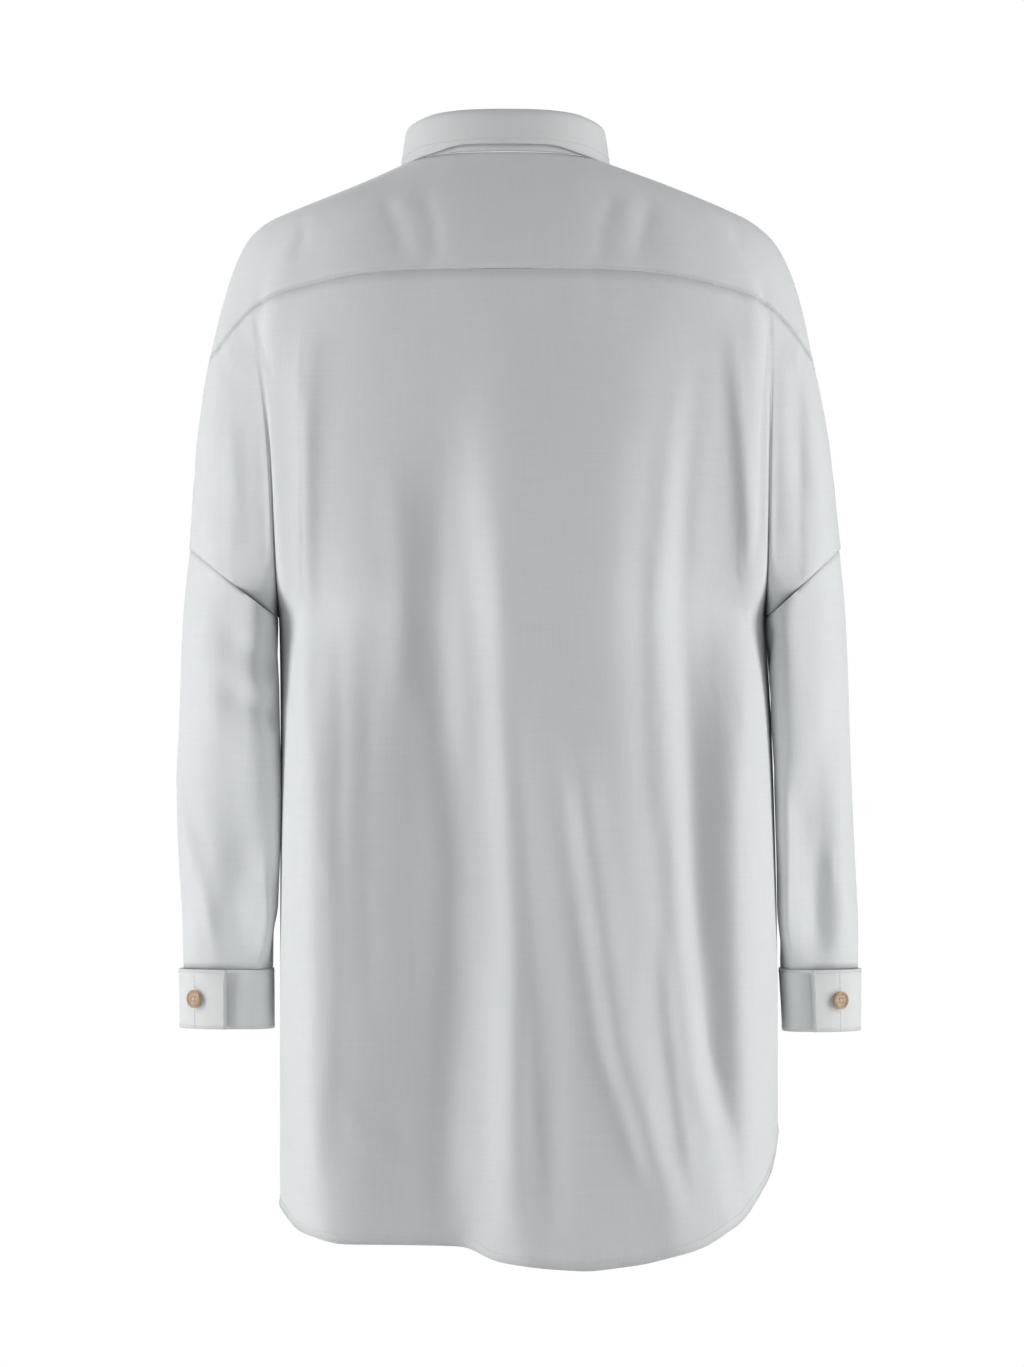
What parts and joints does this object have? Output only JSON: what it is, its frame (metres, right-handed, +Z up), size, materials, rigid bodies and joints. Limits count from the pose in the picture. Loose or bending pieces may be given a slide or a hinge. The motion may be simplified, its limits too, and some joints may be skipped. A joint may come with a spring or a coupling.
{
  "type": "long-sleeve shirt",
  "caption": "Long white button-front shirt with a back yoke, dropped shoulders, a folded collar, buttoned cuffs and a curved shirttail hem, filled out with no wearer.",
  "frame": {"origin": "on the centre line at the height of the neck base, where the wearer's shoulders carry the shirt", "axes": "+Z up the wearer, -Y to the wearer's front, +X to the wearer's left"},
  "size_m": [0.5167, 0.2802, 0.8575],
  "materials": {
    "cloth": "soft matt weave",
    "band": "two-ply matt weave",
    "button": "smooth satin"
  },
  "bodies": {
    "root": {"yoke": "cloth", "back_panel": "cloth", "front_left": "cloth", "front_right": "cloth", "sleeve_left": "cloth", "sleeve_right": "cloth", "cuff_left": "band", "cuff_right": "band", "placket": "band", "collar_stand": "band", "collar_leaf": "band", "button_front_1": "button", "button_front_2": "button", "button_front_3": "button", "button_front_4": "button", "button_front_5": "button", "button_front_6": "button", "button_front_7": "button", "button_collar": "button", "button_cuff_left": "button", "button_cuff_right": "button"}
  },
  "joints": []
}
